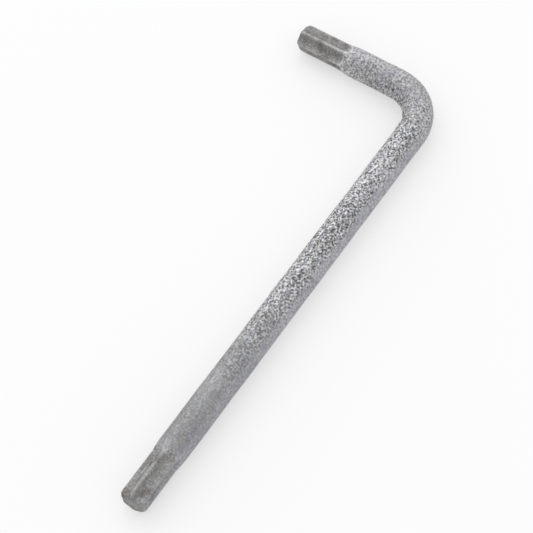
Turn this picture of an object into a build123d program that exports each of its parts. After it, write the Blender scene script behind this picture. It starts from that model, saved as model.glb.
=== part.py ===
from build123d import *
import os
from math import acos, degrees, radians, sin

# Star-drive key: one length of round tool-steel bar, bent once to an L, with a six-lobed
# star drive (hexalobular, size 10) formed on each end. Millimetres, +Z up.
# The key lies flat. The long arm runs along +X and the short arm along -Y; the origin is
# the middle of the L's bounding box, on the surface that the key rests on.

# ---- Driving dimensions ------------------------------------------------------------
# The bar and its bend
shank_diameter = 2.95      # round bar
long_arm = 51.25           # tip of the long arm to the outer side of the short arm
short_arm = 16.6           # tip of the short arm to the outer side of the long arm
bend_radius = 4.2          # of the bar's centreline

# The star section, the same on both ends
lobe_count = 6
star_across_tips = 2.72    # diameter over two opposite lobes
star_across_roots = 1.98   # diameter over two opposite flutes
flute_radius = 0.64        # of each flute's round floor
crest_rounding = 0.17      # fillet on both sides of each lobe's crest, at most

# How far each star reaches along its arm, measured from the tip
flute_length = 4.9         # flutes at full depth
run_out_radius = 0.7       # arc on which each flute rises out of the bar
neck_margin = 0.9          # from the end of the flutes to the bar's full diameter
neck_taper = 2.3           # smooth flare between the star's diameter and the bar's
tip_chamfer = 0.32         # turned 45 degree chamfer on the lobes

# How each star is turned about its arm, in degrees from the level
long_star_turn = 95.0      # one lobe points nearly straight up
short_star_turn = 74.0

# ---- Derived sizes -----------------------------------------------------------------
shank_radius = shank_diameter / 2
tip_radius = star_across_tips / 2
root_radius = star_across_roots / 2
mean_radius = (tip_radius + root_radius) / 2
flute_centre = root_radius + flute_radius
lobe_pitch = 360 / lobe_count
# Each flute's edge on the neck, as an angle from the flute's middle; the land between two
# flutes is the crest of a lobe, and its width limits the fillets on it.
flute_half_angle = degrees(
    acos((tip_radius**2 + flute_centre**2 - flute_radius**2) / (2 * tip_radius * flute_centre))
)
crest_width = 2 * tip_radius * sin(radians(lobe_pitch / 2 - flute_half_angle))
crest_fillet = min(crest_rounding, crest_width / 2)

# ---- Places ------------------------------------------------------------------------
axis_height = max(shank_radius, tip_radius)                      # key resting on z = 0
corner = Vector(shank_radius - long_arm / 2, short_arm / 2 - shank_radius, axis_height)
toward_long = Vector(1, 0, 0)
toward_short = Vector(0, -1, 0)
long_tip = corner + toward_long * (long_arm - shank_radius)
short_tip = corner + toward_short * (short_arm - shank_radius)
neck_end = flute_length + run_out_radius + neck_margin
neck_length = neck_end - neck_taper
neck_middle = neck_end - neck_taper / 2
long_shank_end = long_tip - toward_long * neck_end
short_shank_end = short_tip - toward_short * neck_end


def tip_plane(tip, direction, star_turn):
    """Plane on an arm's tip: normal out along the arm, x axis over one of the lobes."""
    level = direction.cross(Vector(0, 0, 1))
    over_lobe = level.rotate(Axis((0, 0, 0), direction), star_turn)
    return Plane(origin=tip, x_dir=over_lobe, z_dir=direction)


# ---- One flute, as a solid to cut away -----------------------------------------------
# It stands along +Z with the tip at z = 0. The section is a U with a round floor. Past
# the full-depth length the U swings outwards on the run-out arc, so that the flute ends
# in a rounded tongue.
swing_centre = root_radius + run_out_radius
with BuildPart() as flute_cutter:
    with BuildSketch(Plane.XY.offset(-flute_length)) as flute_section:
        with BuildLine():
            CenterArc((flute_centre, 0), flute_radius, 90, 180)
            Polyline(
                (flute_centre, -flute_radius),
                (swing_centre, -flute_radius),
                (swing_centre, flute_radius),
                (flute_centre, flute_radius),
            )
        make_face()
    extrude(amount=flute_length + tip_radius)
    revolve(
        flute_section.sketch,
        axis=Axis((swing_centre, 0, -flute_length), (0, -1, 0)),
        revolution_arc=90,
    )

# ---- The key -----------------------------------------------------------------------
with BuildPart() as star_key:
    # The bar: straight, one bend, straight.
    with BuildLine():
        FilletPolyline(long_shank_end, corner, short_shank_end, radius=bend_radius)
    with BuildSketch(Plane(origin=long_shank_end, z_dir=-toward_long)):
        Circle(shank_radius)
    sweep()

    for tip in (
        tip_plane(long_tip, toward_long, long_star_turn),
        tip_plane(short_tip, toward_short, short_star_turn),
    ):
        # Turned profiles are drawn out from the arm's axis, over the middle of a lobe.
        profile_plane = Plane(tip.origin, x_dir=tip.x_dir, z_dir=-tip.y_dir)
        arm_axis = Axis(tip.origin, tip.z_dir)

        # The neck: straight from the tip, then a flare that runs smoothly into the bar.
        with BuildSketch(profile_plane):
            with BuildLine():
                Polyline((0, -neck_end), (0, 0), (tip_radius, 0), (tip_radius, -neck_length))
                Bezier(
                    (tip_radius, -neck_length),
                    (tip_radius, -neck_middle),
                    (shank_radius, -neck_middle),
                    (shank_radius, -neck_end),
                )
                Line((shank_radius, -neck_end), (0, -neck_end))
            make_face()
        revolve(axis=arm_axis)

        # The flutes, midway between the lobes.
        with Locations(tip):
            with PolarLocations(0, lobe_count, start_angle=lobe_pitch / 2):
                add(flute_cutter.part, mode=Mode.SUBTRACT)
        # What is left of the neck between them is rounded to a crest on each lobe.
        crest_edges = [
            edge
            for edge in star_key.edges(Select.LAST).filter_by(GeomType.CIRCLE, reverse=True)
            if (edge @ 0.5 - tip.origin).cross(tip.z_dir).length > mean_radius
        ]
        fillet(crest_edges, crest_fillet)

        # Turned chamfer: a ring outside a 45 degree cone, taken off the lobes.
        with BuildSketch(profile_plane):
            with BuildLine():
                Polyline(
                    (tip_radius - tip_chamfer, 0),
                    (tip_radius + tip_chamfer, 0),
                    (tip_radius + tip_chamfer, -2 * tip_chamfer),
                    close=True,
                )
            make_face()
        revolve(axis=arm_axis, mode=Mode.SUBTRACT)

# ---- Files -------------------------------------------------------------------------
star_key.part.label = "star_key"
os.makedirs("parts", exist_ok=True)
export_step(star_key.part, "parts/star_key.step")
print("volume", round(star_key.part.volume, 3), "box", star_key.part.bounding_box().size)
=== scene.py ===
# %% [markdown]
# # A star-drive key
#
# The object is a small L-shaped hand key: one length of round steel bar, bent once, with a six-lobed star
# drive formed on both ends. It arrives here as a finished CAD frame, so its size, its bend and its stars are
# settled. Blender's share is what the bar looks like from close by: the blasted skin, the scale on the star
# ends, the shade and highlights painted on them, the light and the camera.
#
# The frame is in metres. A key this small is easier to think about in millimetres, so one constant
# turns millimetres to metres wherever a real size is written.

# %% Load the fixed frame
import math

import bpy
import numpy as np
from mathutils import Matrix, Quaternion, Vector


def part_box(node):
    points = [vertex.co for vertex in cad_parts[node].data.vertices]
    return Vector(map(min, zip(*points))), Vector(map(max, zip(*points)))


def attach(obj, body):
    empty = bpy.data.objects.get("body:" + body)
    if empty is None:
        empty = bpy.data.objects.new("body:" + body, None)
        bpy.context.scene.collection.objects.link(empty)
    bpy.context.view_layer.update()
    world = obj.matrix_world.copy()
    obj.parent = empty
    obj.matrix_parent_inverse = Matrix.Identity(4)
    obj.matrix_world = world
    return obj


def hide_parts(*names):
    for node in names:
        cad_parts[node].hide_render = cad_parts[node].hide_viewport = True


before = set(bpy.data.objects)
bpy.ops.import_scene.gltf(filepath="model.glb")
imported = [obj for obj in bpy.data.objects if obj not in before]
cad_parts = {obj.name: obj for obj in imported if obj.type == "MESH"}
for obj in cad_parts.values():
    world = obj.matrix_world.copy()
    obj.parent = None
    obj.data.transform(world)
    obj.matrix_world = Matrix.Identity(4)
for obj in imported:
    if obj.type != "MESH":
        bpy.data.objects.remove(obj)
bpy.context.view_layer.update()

MM = 0.001

# %% [markdown]
# ## Finding the bar inside the frame
#
# Everything that follows is placed from a few facts about the bar, and all of them can be read off
# the box round it. The key lies flat, so the box is one bar diameter tall. Its two arms run along the
# box's back and left sides, so the corner where their centre lines cross is half a diameter in from
# both. The arms end at the box's far sides.

# %% Measure the bar
NODE = "star_key"
low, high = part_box(NODE)
bar_radius = (high.z - low.z) / 2
corner = Vector((low.x + bar_radius, high.y - bar_radius, low.z + bar_radius))
print("bar diameter, mm:", round(2 * bar_radius / MM, 3))
print("long arm, mm:", round((high.x - corner.x) / MM, 2))
print("short arm, mm:", round((corner.y - low.y) / MM, 2))

# %% [markdown]
# ## The camera
#
# A small thing on a bench is usually taken from above and a little to one side, with a long lens so
# that it doesn't bulge. The camera goes in first, because the light is judged through it. Its place
# is given from the key's corner, in millimetres, and it is turned to look at a point on the long arm.
# to_track_quat points the camera's -Z at that point with Y upwards, and a last small turn about the
# view line gives the slight tilt of a hand-held shot.

# %% Set the camera
CAMERA_FROM_CORNER = Vector((94.6, 50.5, 146.8)) * MM
AIM_FROM_CORNER = Vector((23.93, -3.42, 0.0)) * MM
CAMERA_ROLL = math.radians(-4.2)
LENS = 127.0
SENSOR = 36.0
NEAREST_SEEN = 10 * MM
FARTHEST_SEEN = 10.0

camera_data = bpy.data.cameras.new("bench_camera")
camera_data.lens = LENS
camera_data.sensor_width = SENSOR
camera_data.clip_start = NEAREST_SEEN
camera_data.clip_end = FARTHEST_SEEN
camera = bpy.data.objects.new("bench_camera", camera_data)
bpy.context.scene.collection.objects.link(camera)
bpy.context.scene.camera = camera
camera.location = corner + CAMERA_FROM_CORNER
view_line = corner + AIM_FROM_CORNER - camera.location
camera.rotation_mode = "QUATERNION"
camera.rotation_quaternion = view_line.to_track_quat("-Z", "Y") @ Quaternion((0, 0, 1), CAMERA_ROLL)
print("camera to aim point, mm:", round(view_line.length / MM, 1))

# %% [markdown]
# ## The bar's skin
#
# The CAD bar is geometrically perfect, and a real one isn't. It is drawn, cut, bent, and then blasted
# with grit, which leaves a surface of tiny dents, soft waves where the bar was drawn, and a few
# wrinkles and pits inside the bend where the steel was squeezed. The larger of these are shape, so
# they belong in the mesh.
#
# The CAD node itself is left alone. A copy of it is a heap of loose triangles, so the copy's equal
# points are merged into one closed skin first. It is worked on in millimetres, so that every size
# below reads as one, and it goes back to metres when its shape is done.

# %% Copy and weld the CAD mesh
WELD_DISTANCE = 0.0005

bpy.ops.object.select_all(action="DESELECT")
skin = bpy.data.objects.new("blasted_bar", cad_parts[NODE].data.copy())
bpy.context.scene.collection.objects.link(skin)
bpy.context.view_layer.objects.active = skin
skin.select_set(True)
skin.data.materials.clear()
skin.data.transform(Matrix.Scale(1 / MM, 4))
bpy.ops.object.mode_set(mode="EDIT")
bpy.ops.mesh.select_all(action="SELECT")
bpy.ops.mesh.remove_doubles(threshold=WELD_DISTANCE)
bpy.ops.object.mode_set(mode="OBJECT")
print("welded:", len(skin.data.vertices), "points,", len(skin.data.polygons), "triangles")

# %% [markdown]
# ## Even squares
#
# The welded triangles are long slivers, which can't be dented. A voxel Remesh modifier rebuilds the
# skin as small even squares, and subdividing the slivers instead would only make more slivers. One
# light Smooth takes away the steps that voxels leave on the flutes' edges.

# %% Rebuild the skin as small even squares
VOXEL = 0.092


def apply_modifier(piece, kind, **settings):
    """Adds a modifier with these settings and applies it."""
    made = piece.modifiers.new(kind.lower(), kind)
    for name, value in settings.items():
        setattr(made, name, value)
    bpy.ops.object.modifier_apply(modifier=made.name)


apply_modifier(skin, "REMESH", mode="VOXEL", voxel_size=VOXEL)
apply_modifier(skin, "SMOOTH", factor=0.5, iterations=1)
print("remeshed:", len(skin.data.vertices), "points,", len(skin.data.polygons), "squares")

# %% [markdown]
# ## Where a point is on the bar
#
# Relief and finish change along the key: coarse grain near the bend, smoother steel towards the long star,
# wrinkles inside the bend, painted shade in the flutes. Painting each by hand would be lost at the next
# remesh, so they are worked out. First come the distances, for all points together, in millimetres.

# %% Distances for every point
BEND_RADIUS = 4.2
BEND_CENTRE = Vector((corner.x / MM + BEND_RADIUS, corner.y / MM - BEND_RADIUS, corner.z / MM))
ARM_BLEND = 1.0


def points_of(piece):
    """The piece's points as an array of rows."""
    flat = np.empty(len(piece.data.vertices) * 3, np.float32)
    piece.data.vertices.foreach_get("co", flat)
    return flat.reshape(-1, 3).astype(float)


def ramp(values, start, end):
    """0 at start, 1 at end, smooth between them, whichever of the two is larger."""
    t = np.clip((values - start) / (end - start), 0, 1)
    return t * t * (3 - 2 * t)


xyz = points_of(skin)
x, y, z = xyz.T
on_short_arm = ramp(x, BEND_CENTRE.x, BEND_CENTRE.x - ARM_BLEND)
is_short = on_short_arm > 0.5
to_long_tip = high.x / MM - x
to_short_tip = y - low.y / MM
to_tip = np.where(is_short, to_short_tip, to_long_tip)
from_long_axis = np.hypot(y - corner.y / MM, z - corner.z / MM)
from_short_axis = np.hypot(x - corner.x / MM, z - corner.z / MM)
from_axis = np.where(is_short, from_short_axis, from_long_axis)
from_bend_centre = np.hypot(x - BEND_CENTRE.x, y - BEND_CENTRE.y)
print("points on the short arm:", int(is_short.sum()), "of", len(xyz))

# %% [markdown]
# ## Masks for the stars
#
# On each star end a highlight is painted along the outer edges of the lobes, shade is painted on the floors
# of the flutes, and a band of painted glints shows where the flutes run out into the round bar. A point's
# distance from the arm's centre line tells lobe from flute. The long star is duller, so its masks are weaker.
# Each pair of distances below says where a mask starts and where it is full.

# %% Star masks
STAR_END = (5.8, 4.8)
CREST = (1.32, 1.36)
FLUTE = (1.32, 1.05)
RUN_OUT_FROM = (4.9, 5.2)
RUN_OUT_TO = (5.75, 5.4)
LONG_STAR_FLUTE_SHADE = 0.55
LONG_STAR_CREST_HIGHLIGHT = 0.4
LONG_STAR_RUN_OUT_GLINT = 0.4
SHORT_STAR_RUN_OUT_GLINT = 0.8

long_star = ramp(to_long_tip, *STAR_END)
short_star = on_short_arm * ramp(to_short_tip, *STAR_END)
# painted shade on the floors of the flutes
flute_shade = (LONG_STAR_FLUTE_SHADE * long_star + short_star) * ramp(from_axis, *FLUTE)
# painted highlight along the outer edges of the lobes
crest_highlight = (LONG_STAR_CREST_HIGHLIGHT * long_star + short_star) * ramp(from_axis, *CREST)
# a band of painted glints where the flutes run out into the round bar
run_out_glint_strength = LONG_STAR_RUN_OUT_GLINT + (SHORT_STAR_RUN_OUT_GLINT - LONG_STAR_RUN_OUT_GLINT) * on_short_arm
run_out = ramp(to_tip, *RUN_OUT_FROM) * ramp(to_tip, *RUN_OUT_TO) * run_out_glint_strength
print("points in a flute:", int((flute_shade > 0.5).sum()))

# %% [markdown]
# ## Masks for the bar
#
# The blast hits the side that faces the nozzle, so the grain is coarse along the middle of the long
# arm, calmer on its outer flank and past the bend, and finest by the long star. The crook of the bend
# is where the steel was squeezed. Towards the bend the long arm also turns paler.

# %% Bar masks
CROOK = (3.6, 2.75)
PAST_BEND = (BEND_CENTRE.x + 3.0, corner.x / MM - 1.0)
FLANK = (0.85, 1.25)
COARSE = (10.0, 28.0)
PALER = (4.0, 46.0)
CALM_PAST_BEND = 0.6
CALM_FLANK = 0.8

crook = ramp(from_bend_centre, *CROOK)
past_bend = ramp(x, *PAST_BEND)
# the outer flank also carries painted light: a lighter bluish grey in the layers below
flank = ramp(y - corner.y / MM, *FLANK) * (1 - past_bend)
coarse = ramp(to_long_tip, *COARSE) * (1 - CALM_PAST_BEND * past_bend)
coarse *= (1 - CALM_FLANK * flank) * (1 - short_star)
paler = ramp(to_long_tip, *PALER)
print("points in the bend's crook:", int((crook > 0.5).sum()))

# %% [markdown]
# ## Worn tips
#
# The tips are dropped, dragged and pushed into screws, so their edges are never sharp. A Smooth
# modifier rounds them. A vertex group tells it how strongly to work on each point, from nothing at
# 0.7 mm from a tip to fully at 0.2 mm.

# %% Wear the tips
WORN_TIP = (0.7, 0.2)
LEAST_WEIGHT = 0.01


def vertex_group(piece, name, weights):
    """A vertex group with one weight for each point. Gives back its name."""
    group = piece.vertex_groups.new(name=name)
    for index, weight in enumerate(weights):
        if weight > LEAST_WEIGHT:
            group.add([index], float(weight), "REPLACE")
    return name


worn = np.maximum(ramp(to_long_tip, *WORN_TIP), ramp(to_short_tip, *WORN_TIP))
apply_modifier(skin, "SMOOTH", factor=0.5, iterations=10, vertex_group=vertex_group(skin, "worn_tips", worn))
print("worn points:", int((worn > 0.5).sum()))

# %% [markdown]
# ## Relief
#
# A Displace modifier pushes each point along its normal by a procedural texture. Three passes do it:
# long shallow waves from drawing, the grit's dents, and the squeezed skin in the crook of the bend.
# A vertex group holds back each pass where the real surface is calmer. The grit dents here are about
# a quarter of a millimetre across, the smallest that the mesh can carry, and finer grit is left to
# the material.
#
# A blasted bar loses steel and never gains any. A Displace pass also lifts points, so afterwards
# every point is brought back inside the bar's own box. That also keeps the key on the floor.

# %% Dent the skin
SMOOTH_STEEL_WAVES = 0.35
SMOOTH_STEEL_DENTS = 0.25


def relief(piece, name, size, height, weights, depth=1):
    """Pushes the points in and out by cloudy noise with blobs of this size and this height, in mm."""
    clouds = bpy.data.textures.new(name, "CLOUDS")
    clouds.noise_scale = size
    clouds.noise_depth = depth
    apply_modifier(piece, "DISPLACE", texture=clouds, texture_coords="LOCAL", strength=height,
                   mid_level=0.5, vertex_group=vertex_group(piece, name, weights))


off_star = 1 - long_star - short_star
relief(skin, "drawing_waves", size=2.6, height=0.05,
       weights=SMOOTH_STEEL_WAVES + (1 - SMOOTH_STEEL_WAVES) * off_star)
relief(skin, "grit_dents", size=0.24, height=0.05,
       weights=SMOOTH_STEEL_DENTS + (1 - SMOOTH_STEEL_DENTS) * coarse)
relief(skin, "crook_wrinkles", size=0.5, height=0.22, weights=crook, depth=2)
inside_box = np.clip(points_of(skin), np.array(low) / MM, np.array(high) / MM)
skin.data.vertices.foreach_set("co", inside_box.astype(np.float32).ravel())
moved = np.linalg.norm(inside_box - xyz, axis=1)
print("moved, mm: middle", round(float(np.median(moved)), 4), "| most", round(float(moved.max()), 3))

# %% [markdown]
# ## Passing the masks on
#
# The material needs the same masks. They are stored on the mesh as attributes, one number for each
# point, which an Attribute node reads by name. So the finish stays on its place of the bar from every
# side, and needs no unwrapping, which would leave a seam along the bar.

# %% Store the masks on the mesh
SKIN_MASKS = {
    "flute_shade": flute_shade,
    "crest_highlight": crest_highlight,
    "star_end": long_star + short_star,
    "coarse": coarse,
    "crook": crook,
    "flank": flank,
    "run_out": run_out,
    "paler": paler,
}
for name, values in SKIN_MASKS.items():
    stored = skin.data.attributes.new(name, "FLOAT", "POINT")
    stored.data.foreach_set("value", np.clip(values, 0, 1).astype(np.float32))
skin.vertex_groups.clear()
print("masks on the skin:", ", ".join(SKIN_MASKS))

# %% [markdown]
# ## Joining the frame
#
# The skin goes back to metres and takes the CAD node's place, which stays hidden in the frame for the
# physics. It rides on the key's one body.

# %% Hand the skin to the frame
skin.data.transform(Matrix.Scale(MM, 4))
bpy.ops.object.shade_smooth()
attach(skin, "root")
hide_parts(NODE)
print("skin:", len(skin.data.vertices), "points")

# %% [markdown]
# ## Helpers for materials
#
# A colour is easiest to choose as an sRGB hex value, but shader sockets want linear light, and one
# function converts. Another adds any node, fills its sockets, links them and gives back one of its
# outputs, so that a material reads as a list of what it is made of. It finds sockets by their
# identifiers, because a Mix or Math node has several sockets with the same name.

# %% Colour and node helpers
def linear(hex_colour):
    """An sRGB hex colour as linear RGBA."""
    channels = [int(hex_colour[i:i + 2], 16) / 255 for i in (1, 3, 5)]
    return [c / 12.92 if c <= 0.04045 else ((c + 0.055) / 1.055) ** 2.4 for c in channels] + [1.0]


def node(tree, kind, output, settings=None, **inputs):
    """Adds a node with these settings and gives back the named output. Each input is a value, or
    another node's output, which is then linked. Identifiers are written with _ for a space."""
    made = tree.nodes.new(kind)
    for name, value in (settings or {}).items():
        setattr(made, name, value)
    sockets = {socket.identifier.replace(" ", "_"): socket for socket in made.inputs}
    for name, value in inputs.items():
        if isinstance(value, bpy.types.NodeSocket):
            tree.links.new(value, sockets[name])
        else:
            sockets[name].default_value = value
    return next((socket for socket in made.outputs if socket.identifier == output), None)


def new_material(name):
    """An empty node material and its tree."""
    made = bpy.data.materials.new(name)
    made.use_nodes = True
    made.node_tree.nodes.clear()
    return made, made.node_tree


print("mid grey #808080 in linear light:", round(linear("#808080")[0], 4))

# %% [markdown]
# ## Blasted steel: its patterns
#
# The bar is alloy tool steel, hardened and then blasted with fine grit. Steel gives the eye a grey that is
# nearly neutral. Blasting takes the mirror out of it, because each dent throws light its own way, and leaves
# a salt-and-pepper speckle of glinting and shaded dents; here the glints and the shade of the dents are
# painted into the colour. Handling and heat leave cloudy patches, a little blue in one place and olive in
# another.
#
# Each pattern is Noise on Object coordinates, so it stays on the steel. Noise with a scale of one has
# blobs about a metre across, so a scale of one over the real size gives blobs of that size. Real grit
# is finer than a fifth of a millimetre, and is drawn that coarse because finer grain would not show.

# %% The steel's patterns
PATTERN_SIZES = {
    "clouds": 3.5 * MM,
    "cast": 0.9 * MM,
    "scale_patch": 1.3 * MM,
    "pit": 0.42 * MM,
    "grain": 0.2 * MM,
    "fine_grain": 0.11 * MM,
}
PATTERN_DETAIL = {"clouds": 2.0, "cast": 2.0, "scale_patch": 3.0, "pit": 1.0, "grain": 1.0, "fine_grain": 0.0}

steel, tree = new_material("blasted_tool_steel")
place = node(tree, "ShaderNodeTexCoord", "Object")
pattern = {}
for name, size in PATTERN_SIZES.items():
    pattern[name] = node(tree, "ShaderNodeTexNoise", "Fac", Vector=place, Scale=1 / size,
                         Detail=PATTERN_DETAIL[name])
for name in SKIN_MASKS:
    pattern[name] = node(tree, "ShaderNodeAttribute", "Fac", {"attribute_name": name})
print("patterns and masks:", len(pattern))

# %% [markdown]
# ## Blasted steel: its ground colour
#
# Under everything lies a grey that runs from dark by the long star to pale by the bend, with clouds
# of both. A little under half of that choice is left to the clouds. The speckle's contrast follows
# the coarse mask, so the grain fades out towards the long star.

# %% The ground colour
STEEL = "#BDBDBF"
STEEL_DARK = "#959595"
CLOUD_EDGES = (0.35, 0.65)
CLOUD_SHARE = 0.45
CALM_CONTRAST = 0.2
COARSE_CONTRAST = 0.9

cloudy = node(tree, "ShaderNodeMapRange", "Result", Value=pattern["clouds"], From_Min=CLOUD_EDGES[0],
              From_Max=CLOUD_EDGES[1], To_Min=0.0, To_Max=CLOUD_SHARE)
pale = node(tree, "ShaderNodeMath", "Value", {"operation": "MULTIPLY_ADD"}, Value=pattern["paler"],
            Value_001=1 - CLOUD_SHARE, Value_002=cloudy)
tone = node(tree, "ShaderNodeMix", "Result_Color", {"data_type": "RGBA"}, Factor_Float=pale,
            A_Color=linear(STEEL_DARK), B_Color=linear(STEEL))
pattern["contrast"] = node(tree, "ShaderNodeMapRange", "Result", Value=pattern["coarse"],
                           To_Min=CALM_CONTRAST, To_Max=COARSE_CONTRAST)
print("ground colour from", STEEL_DARK, "to", STEEL)

# %% [markdown]
# ## Blasted steel: what lies on the ground colour
#
# The rest of the colour is a stack of thin layers, and each is made in the same way: a pattern is stretched
# between two of its values, scaled to a strength, held back by a mask, and used to mix in a colour. So the
# stack is a list, and one loop builds it. On the star ends a brown scale is left where the blast didn't
# reach, shade is painted on the floors of the flutes, a highlight is painted along the lobes' edges and a
# band of glints where the flutes run out, and the crook of the bend has dark pits. The outer flank is painted
# a lighter bluish grey, as painted light. The grit's pepper and salt come last, because the blast was the
# last thing done to the bar: the salt is painted glints on the dents, and the pepper is the grit's dark grain
# with painted shade in the dents.

# %% The layers
PEPPER = "#3C3C3E"
# the colour of the painted highlights, on the lobes' edges and where the flutes run out
PAINTED_HIGHLIGHT = "#D2D2D2"
# the pattern or mask, where the layer starts and is full, its strength, what holds it back, its colour
LAYERS = [
    ("cast", 0.50, 0.68, 0.6, None, "#A9AAB2"),  # a blue cast
    ("cast", 0.50, 0.32, 0.6, None, "#ACACA8"),  # an olive cast
    ("star_end", 0.0, 1.0, 0.8, None, "#A3A29F"),  # the star ends' warm grey
    # painted shade: the flute floors are darkened
    ("flute_shade", 0.0, 1.0, 0.6, None, "#8B8988"),  # the flutes' darker grey
    # painted highlight along the lobes' edges
    ("crest_highlight", 0.0, 1.0, 0.6, None, PAINTED_HIGHLIGHT),
    # painted glints where the flutes run out
    ("grain", 0.40, 0.60, 1.0, "run_out", PAINTED_HIGHLIGHT),
    ("scale_patch", 0.50, 0.66, 0.5, "star_end", "#665D58"),  # brown scale
    ("pit", 0.46, 0.36, 0.8, "crook", PEPPER),
    # painted light: the outer flank is made a lighter bluish grey
    ("flank", 0.0, 1.0, 0.5, None, "#B8B8C0"),  # the outer flank's bluish grey
    # the grit's dark grain, partly painted shade in the dents
    ("grain", 0.47, 0.37, 0.85, "contrast", PEPPER),
    # painted glints on the dents
    ("grain", 0.54, 0.65, 0.75, "contrast", "#FAFAFA"),  # the salt of glinting dents
]
for source, start, full, strength, held_by, colour in LAYERS:
    amount = node(tree, "ShaderNodeMapRange", "Result", Value=pattern[source], From_Min=start,
                  From_Max=full, To_Min=0.0, To_Max=strength)
    if held_by:
        amount = node(tree, "ShaderNodeMath", "Value", {"operation": "MULTIPLY"}, Value=amount,
                      Value_001=pattern[held_by])
    tone = node(tree, "ShaderNodeMix", "Result_Color", {"data_type": "RGBA"}, Factor_Float=amount,
                A_Color=tone, B_Color=linear(colour))
print("layers:", len(LAYERS))

# %% [markdown]
# ## Blasted steel: its shine
#
# Grit too fine for the mesh is a bump, deeper where the grain is coarse. The shader is a plain metal:
# fully metallic, with the default IOR, and rough enough that the lamp shows only as a soft pale side.
# The finest grain also changes the roughness a little, so the shine isn't even.

# %% Bump and shader
FINE_SHARE = 0.3
DENT_DEPTH = 0.05 * MM
CALM_BUMP = 0.3
COARSE_BUMP = 0.8
ROUGHNESS = (0.58, 0.72)
ROUGHNESS_EDGES = (0.3, 0.7)

height = node(tree, "ShaderNodeMix", "Result_Float", {"data_type": "FLOAT"}, Factor_Float=FINE_SHARE,
              A_Float=pattern["grain"], B_Float=pattern["fine_grain"])
bump_strength = node(tree, "ShaderNodeMapRange", "Result", Value=pattern["coarse"],
                     To_Min=CALM_BUMP, To_Max=COARSE_BUMP)
dents = node(tree, "ShaderNodeBump", "Normal", Height=height, Distance=DENT_DEPTH, Strength=bump_strength)
roughness = node(tree, "ShaderNodeMapRange", "Result", Value=pattern["fine_grain"],
                 From_Min=ROUGHNESS_EDGES[0], From_Max=ROUGHNESS_EDGES[1],
                 To_Min=ROUGHNESS[0], To_Max=ROUGHNESS[1])
shader = node(tree, "ShaderNodeBsdfPrincipled", "BSDF", Base_Color=tone, Metallic=1.0,
              Roughness=roughness, Normal=dents)
node(tree, "ShaderNodeOutputMaterial", None, Surface=shader)
skin.data.materials.append(steel)
print("steel nodes:", len(tree.nodes))

# %% [markdown]
# ## The sheet under the key
#
# The key lies on a sheet of matt white paper, which gives the eye an even white with a soft shadow.
# Brighter lamps would make it whiter, but would also bleach the steel. So the sheet answers the light
# as paper does, which keeps the shadow, and a share of its own white is mixed in for the camera and
# for reflections. Light Path tells those rays from the ones that light the key.

# %% The sheet
SHEET_SIZE = 2.0
PAPER = "#FBFBFB"
OWN_WHITE = "#FFFFFF"
OWN_WHITE_SHARE = 0.48

bpy.ops.mesh.primitive_plane_add(size=SHEET_SIZE, location=(0, 0, low.z))
sheet = bpy.context.object
sheet.name = "white_sheet"
paper, tree = new_material("matt_white_paper")
seen = 0.0
for ray in ("Is Camera Ray", "Is Glossy Ray", "Is Transmission Ray"):
    seen = node(tree, "ShaderNodeMath", "Value", {"operation": "MAXIMUM"}, Value=seen,
                Value_001=node(tree, "ShaderNodeLightPath", ray))
share = node(tree, "ShaderNodeMath", "Value", {"operation": "MULTIPLY"}, Value=seen,
             Value_001=OWN_WHITE_SHARE)
lit = node(tree, "ShaderNodeBsdfDiffuse", "BSDF", Color=linear(PAPER))
glow = node(tree, "ShaderNodeEmission", "Emission", Color=linear(OWN_WHITE), Strength=1.0)
both = node(tree, "ShaderNodeMixShader", "Shader", Fac=share, Shader=lit, Shader_001=glow)
node(tree, "ShaderNodeOutputMaterial", None, Surface=both)
sheet.data.materials.append(paper)
print("sheet, m:", tuple(round(v, 2) for v in sheet.dimensions[:2]))

# %% [markdown]
# ## The light
#
# Soft daylight in a pale room is two things. The world is an even pale grey sky, which lights every
# side and is what the steel mostly mirrors. One large soft lamp stands up behind the short arm and
# gives the light its direction, so that the key's shadow falls to one side. A disk larger than the
# key keeps that shadow's edge soft. The Standard view shows colours about as they are written.

# %% Sky and lamp
SKY_GREY = "#EFEFF1"
SKY_STRENGTH = 1.0
LAMP_DIRECTION = Vector((-0.6, -0.75, 0.62)).normalized()
LAMP_DISTANCE = 0.5
LAMP_SIZE = 0.7
LAMP_POWER = 0.9

world = bpy.data.worlds.new("pale_room")
bpy.context.scene.world = world
world.use_nodes = True
background = world.node_tree.nodes["Background"]
background.inputs["Color"].default_value = linear(SKY_GREY)
background.inputs["Strength"].default_value = SKY_STRENGTH

lamp_data = bpy.data.lights.new("window_light", "AREA")
lamp_data.shape = "DISK"
lamp_data.size = LAMP_SIZE
lamp_data.energy = LAMP_POWER
lamp = bpy.data.objects.new("window_light", lamp_data)
bpy.context.scene.collection.objects.link(lamp)
lamp.location = LAMP_DIRECTION * LAMP_DISTANCE
lamp.rotation_euler = LAMP_DIRECTION.to_track_quat("Z", "Y").to_euler()

bpy.context.scene.view_settings.view_transform = "Standard"
print("lamp height, m:", round(lamp.location.z, 3))
